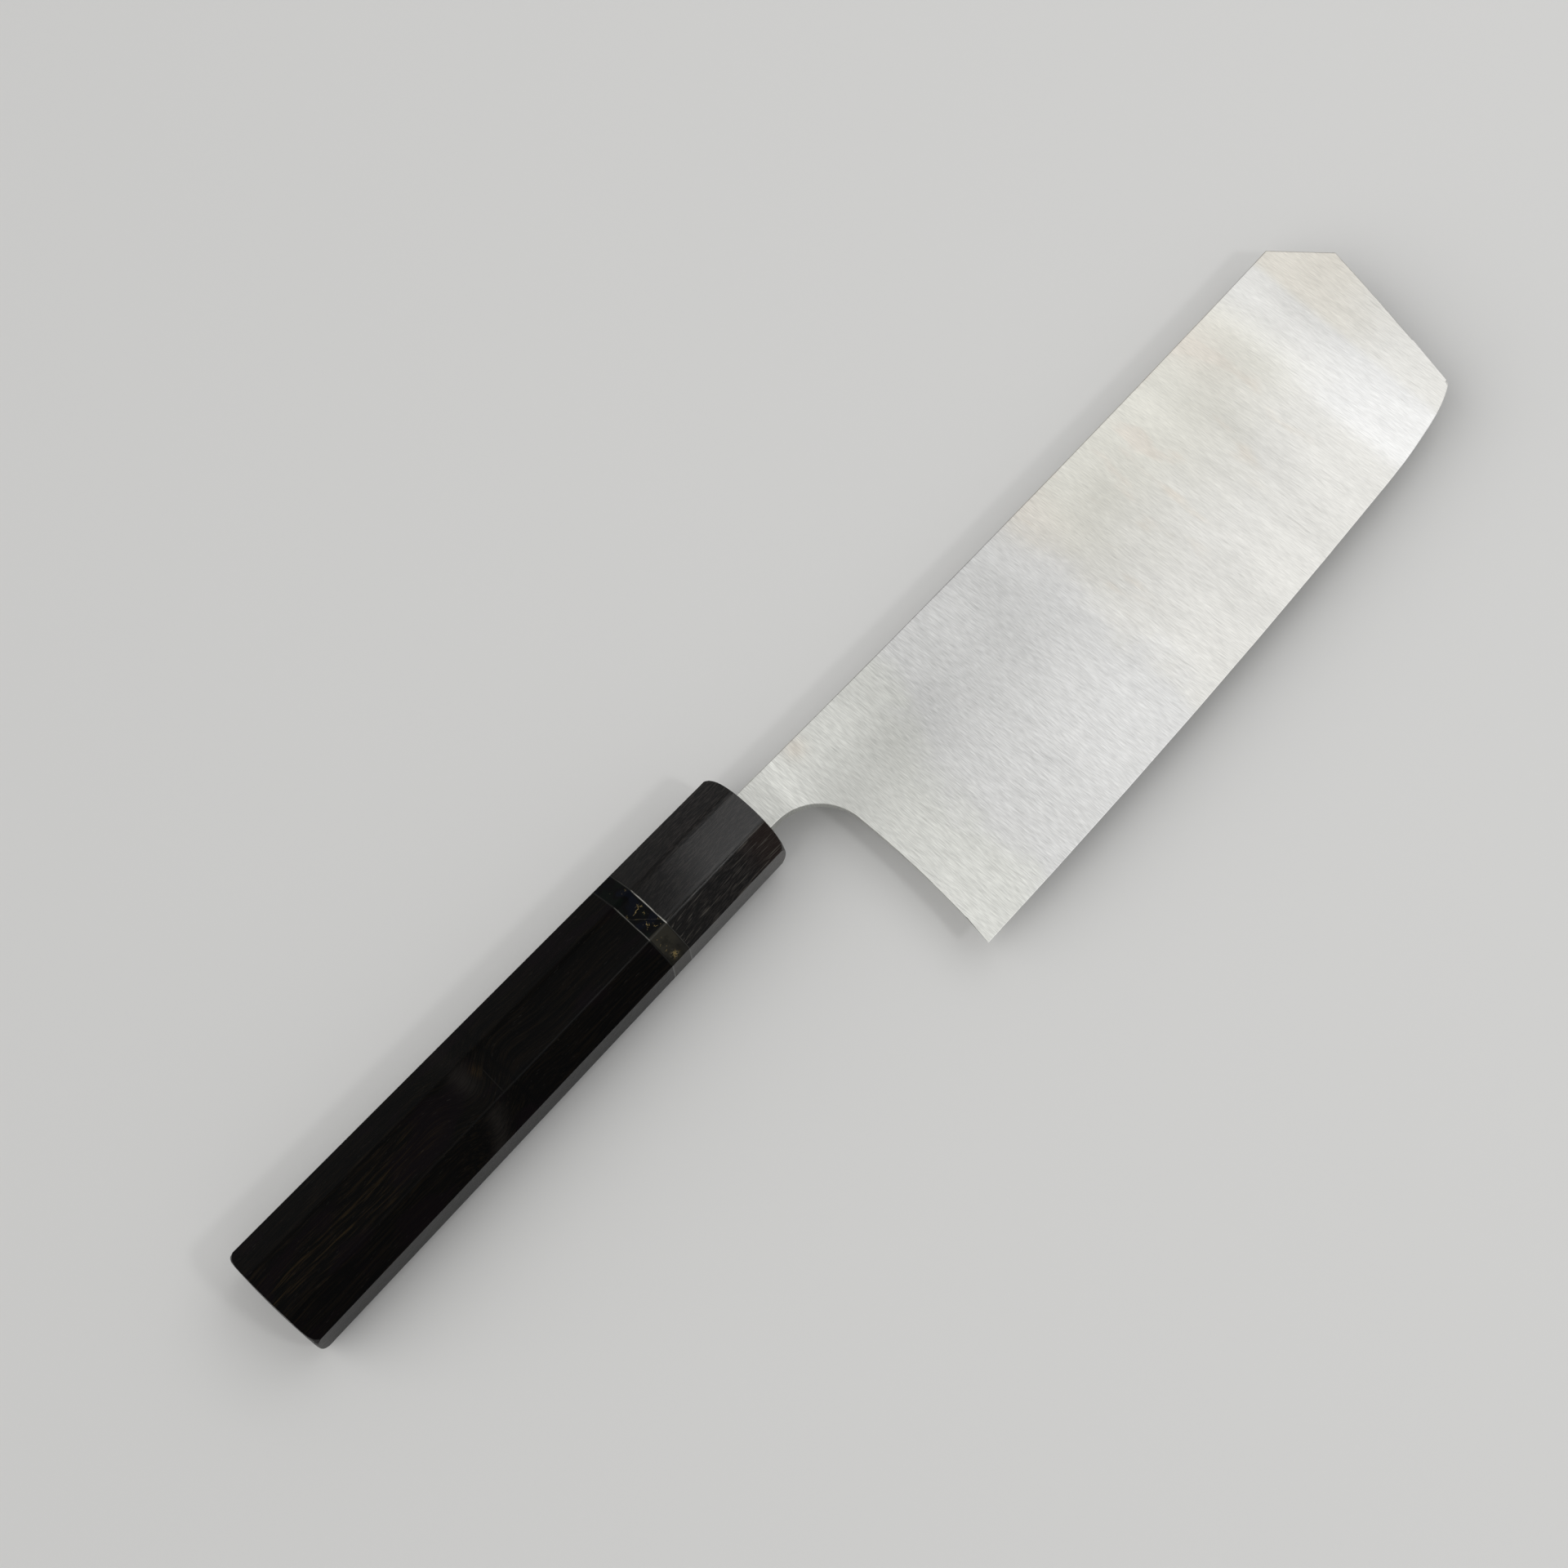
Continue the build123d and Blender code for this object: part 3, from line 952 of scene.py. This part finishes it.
def makeLinerMetal():
    shader = Shader("nickelSilver")
    x, y, z = shader.axes(shader.millimetres())
    hair = shader.cloud((0.5, 5.0, 5.0), 3.0, 0.6)
    dull = shader.cloud((0.3, 0.35, 0.35), 2.0)
    waver = (dull - 0.5) * 0.25
    front = (x + waver).near(liner["frontMiddle"], liner["bright"])
    rear = (x + waver).near(liner["rearMiddle"], liner["bright"] * 0.8)
    rear = rear * liner["rearShadedShare"]
    # Painted shade: dark beside the bright middles, on the rear liner and off the wide facets
    shade = (front + rear) * (0.85 + hair * 0.3 - dull.rise(0.45, 0.7) * 0.45)
    shade = shade * (1 - y.size().rise(*liner["wideFacet"]) * liner["slantPaintedShade"])
    colour = shader.mix(shade.lesser(1.0), liner["glueLine"], liner["colour"])
    roughness = liner["roughness"] + (hair - 0.5) * 0.2
    return shader.finish(
        baseColor=colour, metallic=1.0, roughness=roughness,
        normal=shader.bump(hair, 0.006, 0.4),
    )


# Black composite stone with golden and white veins
stone = {
    "black": (0.0016, 0.0016, 0.0018),
    "blue": (0.0022, 0.0030, 0.0060),
    "green": (0.0018, 0.0032, 0.0024),
    # Painted sheen: the lower facet is made lighter, as the light falls on it
    "smoke": (0.029, 0.027, 0.021),      # on the lower facet
    "gold": (0.22, 0.165, 0.07),
    "white": (0.11, 0.105, 0.09),
    "crossVein": (1.8, 0.04),            # above the axis, and half width, mm
    "slantVein": (1.0, 0.045),
    "slant": 0.98,
    "spot": ((-33.2, 0.7), (-10.0, 0.6)),      # golden, low: middle and half width each way
    "roughness": 0.20,
    "shine": 0.05,
}


def makeStone():
    shader = Shader("goldVeinedStone")
    x, y, z = shader.axes(shader.millimetres())
    warp = shader.cloud((0.45, 0.45, 0.45), 3.0, 0.6) - 0.5
    blotch = shader.cloud((0.30, 0.30, 0.30), 1.0)
    colour = shader.mix(blotch.rise(0.50, 0.62), stone["black"], stone["blue"])
    colour = shader.mix((1 - blotch).rise(0.54, 0.66), colour, stone["green"])
    # Painted sheen: the lower facet lighter, fading away from its corner
    lowFacet = (y * -1).rise(4.5, 5.1)
    cloudy = shader.cloud((0.5, 0.5, 0.5), 3.0, 0.6)
    fading = 1.7 - (y * -1).rise(5, 10) * 1.1
    lowFacetSheenShare = lowFacet * fading * (cloudy.rise(0.3, 0.6) * 0.5 + 0.5)
    colour = shader.mix(lowFacetSheenShare, colour, stone["smoke"])

    # Two long veins cross the wide facet, and short threads run elsewhere
    broken = shader.cloud((1.1, 1.1, 1.1), 1.0)
    drift = shader.cloud((0.4, 0.4, 0.4), 1.0) - 0.5
    across = (y + drift * 0.9).near(*stone["crossVein"]) * broken.rise(0.44, 0.52) * 0.5
    slanting = (y + (x + 35) * stone["slant"] + drift).near(*stone["slantVein"])
    slanting = slanting * (broken.rise(0.40, 0.54) * 0.45 + 0.15)
    shifted = shader.point(x * 0.16 + warp * 0.8, y * 0.24 + warp, z * 0.24 + warp)
    toThread = shader.cells(shifted, 1.0, "DISTANCE_TO_EDGE")
    threads = (1 - toThread.rise(0.004, 0.014)) * broken.rise(0.58, 0.64)
    flake = shader.cloud((1.9, 2.6, 2.6), 1.0)
    flakes = flake.rise(0.77, 0.81) * (lowFacet * 0.6 + 0.4)
    spotAlong, spotAcross = stone["spot"]
    spot = (x + warp).near(*spotAlong) * (y + warp).near(*spotAcross)
    spot = (spot * flake.rise(0.42, 0.56) * 1.5).lesser(1.0)
    # Painted shade: the veins are dimmer on the upper facet
    gilt = (across + slanting + threads + flakes + spot).lesser(1.0) * (1 - y.rise(4.6, 5.2) * 0.6)
    golden = flakes.greater(spot).greater(broken.rise(0.55, 0.65))
    colour = shader.mix(gilt * 0.8, colour, shader.mix(golden, stone["white"], stone["gold"]))
    roughness = stone["roughness"] + gilt * 0.2 + cloudy * 0.05
    return shader.finish(
        baseColor=colour, metallic=gilt * 0.5, roughness=roughness,
        specularIORLevel=stone["shine"], normal=shader.bump(gilt, 0.01, 0.3),
    )


# Dowel of pale hardwood
dowelWood = {"pale": (0.46, 0.31, 0.17), "dark": (0.27, 0.165, 0.085), "roughness": 0.62}


def makeDowelWood():
    shader = Shader("paleHardwood")
    x, y, z = shader.axes(shader.millimetres())
    rings = shader.noise(shader.point(x * 0.03, y * 1.3, z * 1.3), 3.0, 0.6)
    fibres = shader.noise(shader.point(x * 0.3, y * 6, z * 6), 2.0)
    figure = (rings * 0.7 + fibres * 0.3).rise(0.4, 0.62)
    colour = shader.mix(figure, dowelWood["pale"], dowelWood["dark"])
    roughness = dowelWood["roughness"] + (fibres - 0.5) * 0.2
    return shader.finish(
        baseColor=colour, roughness=roughness, normal=shader.bump(fibres, 0.02, 0.5)
    )


# Set adhesive, amber and slightly cloudy
adhesive = {"clear": (0.20, 0.125, 0.05), "cloudy": (0.33, 0.25, 0.15), "roughness": 0.28}


def makeAdhesive():
    shader = Shader("setAdhesive")
    cloud = shader.cloud((0.5, 0.8, 0.8), 3.0, 0.6)
    bubbles = shader.cells(shader.millimetres(), 2.2).rise(0.10, 0.16)
    colour = shader.mix(cloud.rise(0.4, 0.65), adhesive["clear"], adhesive["cloudy"])
    return shader.finish(
        baseColor=colour, roughness=adhesive["roughness"] + cloud * 0.15,
        normal=shader.bump(bubbles, 0.02, 0.4),
    )


makeBlade(makeSteel())
linerMetal = makeLinerMetal()
makeFerrule(makeFerruleEbony())
makeBand("front_liner", linerMetal)
makeBand("spacer", makeStone())
makeBand("rear_liner", linerMetal)
makeGrip(makeGripEbony())
for node, material in (("dowel", makeDowelWood()), ("tang_bedding", makeAdhesive())):
    nodes[node].material_slots[0].material = material
